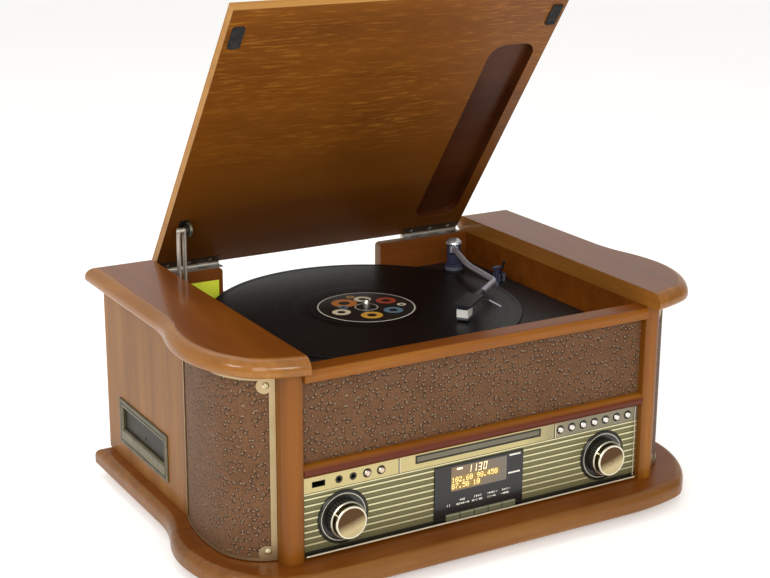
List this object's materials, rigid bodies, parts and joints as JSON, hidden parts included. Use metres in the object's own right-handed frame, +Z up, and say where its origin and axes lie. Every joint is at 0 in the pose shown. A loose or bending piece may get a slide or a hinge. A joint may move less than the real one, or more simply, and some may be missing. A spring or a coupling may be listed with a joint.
{
  "type": "stereo music centre",
  "caption": "Retro wooden stereo music centre with a record deck under a hinged lid, CD drawer, cassette slot, tuner display and knobs.",
  "frame": {"origin": "on the table, under the middle of the unit with its lid standing open", "axes": "+Z up, +X to the right seen from the front, front face towards -Y"},
  "size_m": [0.528, 0.3683, 0.4912],
  "materials": {
    "plinth": "honey-brown lacquered wood, satin gloss",
    "feet": "matte black rubber",
    "side_panels": "brown lacquered wood veneer",
    "inner_walls": "dark painted board",
    "posts": "orange-brown lacquered wood, rounded edges",
    "back_panel": "dark brown board",
    "caps": "honey-brown lacquered wood, satin gloss",
    "front_rails": "orange-brown lacquered wood",
    "front_cloth": "brown embossed speaker cloth",
    "grilles": "brown embossed speaker cloth on curved frames",
    "grille_trims": "champagne-gold satin metal frame",
    "woofers": "black paper cone and magnet",
    "fascia": "olive-gold ribbed panel",
    "display_block": "black gloss",
    "display_window": "lit grey-brown display",
    "keys": "grey-olive satin",
    "buttons": "silver domed",
    "knob_rings": "black ring with a fine pale line",
    "knobs": "ridged black skirt, dark-gold barrel, polished cap",
    "front_sockets": "metal sockets",
    "cd_drawer": "grey-olive drawer front",
    "cd_mechanism": "black moulded frame",
    "cassette_bezel": "antique pewter frame",
    "cassette_flap": "olive flap",
    "cassette_deck": "black moulded frame",
    "turntable_deck": "black satin deck",
    "platter": "turned rim under a black mat, pale spindle",
    "record": "black vinyl with a plain label",
    "motor": "plated can",
    "motor_pulley": "turned brass",
    "drive_belt": "black rubber",
    "tonearm_base": "grey-blue base",
    "tonearm_yoke": "grey-blue tower, bright dome",
    "tonearm": "silver tube, black headshell",
    "cartridge": "white body, dark mount",
    "cue_lever": "dark lever",
    "lid": "honey-brown lacquered wood",
    "lid_lining": "dark brown veneer, honey edges",
    "hinge_leaves": "plated steel",
    "lid_pads": "dark pads",
    "stay": "plated steel rods",
    "stay_guide": "plated steel plate",
    "circuit_boards": "green boards",
    "transformer": "laminated core",
    "rear_terminals": "black plate with sockets"
  },
  "bodies": {
    "cabinet": {"back_panel": "back_panel", "cabinet_leaves": "hinge_leaves", "caps": "caps", "cassette_bezel": "cassette_bezel", "cassette_deck": "cassette_deck", "cd_mechanism": "cd_mechanism", "circuit_boards": "circuit_boards", "display_block": "display_block", "display_window": "display_window", "drive_belt": "drive_belt", "fascia": "fascia", "feet": "feet", "front_cloth": "front_cloth", "front_rails": "front_rails", "front_sockets": "front_sockets", "grille_trims": "grille_trims", "grilles": "grilles", "inner_walls": "inner_walls", "knob_rings": "knob_rings", "motor": "motor", "plinth": "plinth", "posts": "posts", "rear_terminals": "rear_terminals", "side_panels": "side_panels", "stay_guide": "stay_guide", "tonearm_base": "tonearm_base", "transformer": "transformer", "turntable_deck": "turntable_deck", "woofers": "woofers"},
    "lid": {"lid": "lid", "lid_lining": "lid_lining", "lid_leaves": "hinge_leaves", "lid_pads": "lid_pads", "stay_plate": "stay"},
    "stay_arm": {"stay_arm": "stay"},
    "platter": {"platter": "platter", "record": "record"},
    "pulley": {"motor_pulley": "motor_pulley"},
    "arm_yoke": {"tonearm_yoke": "tonearm_yoke"},
    "arm": {"tonearm": "tonearm", "cartridge": "cartridge"},
    "cue_lever": {"cue_lever": "cue_lever"},
    "volume_knob": {"volume_knob": "knobs"},
    "tuning_knob": {"tuning_knob": "knobs"},
    "cd_drawer": {"cd_drawer": "cd_drawer"},
    "cassette_flap": {"cassette_flap": "cassette_flap"},
    "key_1": {"key_1": "keys"},
    "key_2": {"key_2": "keys"},
    "key_3": {"key_3": "keys"},
    "key_4": {"key_4": "keys"},
    "key_5": {"key_5": "keys"},
    "button_left_1": {"button_left_1": "buttons"},
    "button_left_2": {"button_left_2": "buttons"},
    "button_right_1": {"button_right_1": "buttons"},
    "button_right_2": {"button_right_2": "buttons"},
    "button_right_3": {"button_right_3": "buttons"},
    "button_right_4": {"button_right_4": "buttons"},
    "button_right_5": {"button_right_5": "buttons"},
    "button_right_6": {"button_right_6": "buttons"},
    "button_right_7": {"button_right_7": "buttons"}
  },
  "joints": [
    {"name": "lid_hinge", "type": "hinge", "parent": "cabinet", "child": "lid", "pos_m": [0, 0.1755, 0.204], "axis": [1, 0, 0], "range_deg": [0, 54.34]},
    {"name": "stay_pivot", "type": "hinge", "parent": "lid", "child": "stay_arm", "pos_m": [-0.162, 0.13139, 0.25518], "axis": [1, 0, 0], "range_deg": [-54.34, 0]},
    {"name": "platter_spin", "type": "hinge", "parent": "cabinet", "child": "platter", "pos_m": [-0.0235, 0.0185, 0.187], "axis": [0, 0, -1], "continuous": true},
    {"name": "pulley_spin", "type": "hinge", "parent": "cabinet", "child": "pulley", "pos_m": [-0.1, -0.0595, 0.1765], "axis": [0, 0, -1], "continuous": true},
    {"name": "arm_swing", "type": "hinge", "parent": "cabinet", "child": "arm_yoke", "pos_m": [0.141, 0.1205, 0.199], "axis": [0, 0, 1], "range_deg": [-11, 24]},
    {"name": "arm_lift", "type": "hinge", "parent": "arm_yoke", "child": "arm", "pos_m": [0.141, 0.1205, 0.199], "axis": [0.8696, -0.4938, 0], "range_deg": [-12, 0]},
    {"name": "cue_swing", "type": "hinge", "parent": "cabinet", "child": "cue_lever", "pos_m": [0.168, 0.0735, 0.1775], "axis": [1, 0, 0], "range_deg": [0, 60]},
    {"name": "volume_turn", "type": "hinge", "parent": "cabinet", "child": "volume_knob", "pos_m": [-0.1403, -0.1575, 0.0597], "axis": [0, 1, 0], "range_deg": [-150, 150]},
    {"name": "tuning_turn", "type": "hinge", "parent": "cabinet", "child": "tuning_knob", "pos_m": [0.1403, -0.1575, 0.0597], "axis": [0, 1, 0], "continuous": true},
    {"name": "cd_drawer_slide", "type": "slide", "parent": "cabinet", "child": "cd_drawer", "axis": [0, -1, 0], "range_m": [0, 0.125]},
    {"name": "flap_swing", "type": "hinge", "parent": "cabinet", "child": "cassette_flap", "pos_m": [-0.22805, 0.084, 0.08125], "axis": [0, 1, 0], "range_deg": [-75, 0], "stiffness_Nm_per_rad": 0.02, "springref_deg": 17.19},
    {"name": "key_1_press", "type": "slide", "parent": "cabinet", "child": "key_1", "axis": [0, 1, 0], "range_m": [0, 0.0012], "stiffness_N_per_m": 400},
    {"name": "key_2_press", "type": "slide", "parent": "cabinet", "child": "key_2", "axis": [0, 1, 0], "range_m": [0, 0.0012], "stiffness_N_per_m": 400},
    {"name": "key_3_press", "type": "slide", "parent": "cabinet", "child": "key_3", "axis": [0, 1, 0], "range_m": [0, 0.0012], "stiffness_N_per_m": 400},
    {"name": "key_4_press", "type": "slide", "parent": "cabinet", "child": "key_4", "axis": [0, 1, 0], "range_m": [0, 0.0012], "stiffness_N_per_m": 400},
    {"name": "key_5_press", "type": "slide", "parent": "cabinet", "child": "key_5", "axis": [0, 1, 0], "range_m": [0, 0.0012], "stiffness_N_per_m": 400},
    {"name": "button_left_1_press", "type": "slide", "parent": "cabinet", "child": "button_left_1", "axis": [0, 1, 0], "range_m": [0, 0.0012], "stiffness_N_per_m": 400},
    {"name": "button_left_2_press", "type": "slide", "parent": "cabinet", "child": "button_left_2", "axis": [0, 1, 0], "range_m": [0, 0.0012], "stiffness_N_per_m": 400},
    {"name": "button_right_1_press", "type": "slide", "parent": "cabinet", "child": "button_right_1", "axis": [0, 1, 0], "range_m": [0, 0.0012], "stiffness_N_per_m": 400},
    {"name": "button_right_2_press", "type": "slide", "parent": "cabinet", "child": "button_right_2", "axis": [0, 1, 0], "range_m": [0, 0.0012], "stiffness_N_per_m": 400},
    {"name": "button_right_3_press", "type": "slide", "parent": "cabinet", "child": "button_right_3", "axis": [0, 1, 0], "range_m": [0, 0.0012], "stiffness_N_per_m": 400},
    {"name": "button_right_4_press", "type": "slide", "parent": "cabinet", "child": "button_right_4", "axis": [0, 1, 0], "range_m": [0, 0.0012], "stiffness_N_per_m": 400},
    {"name": "button_right_5_press", "type": "slide", "parent": "cabinet", "child": "button_right_5", "axis": [0, 1, 0], "range_m": [0, 0.0012], "stiffness_N_per_m": 400},
    {"name": "button_right_6_press", "type": "slide", "parent": "cabinet", "child": "button_right_6", "axis": [0, 1, 0], "range_m": [0, 0.0012], "stiffness_N_per_m": 400},
    {"name": "button_right_7_press", "type": "slide", "parent": "cabinet", "child": "button_right_7", "axis": [0, 1, 0], "range_m": [0, 0.0012], "stiffness_N_per_m": 400}
  ],
  "couplings": [
    {"joint": "stay_pivot", "follows": "lid_hinge", "ratio": -1},
    {"joint": "pulley_spin", "follows": "platter_spin", "ratio": 11.667}
  ]
}
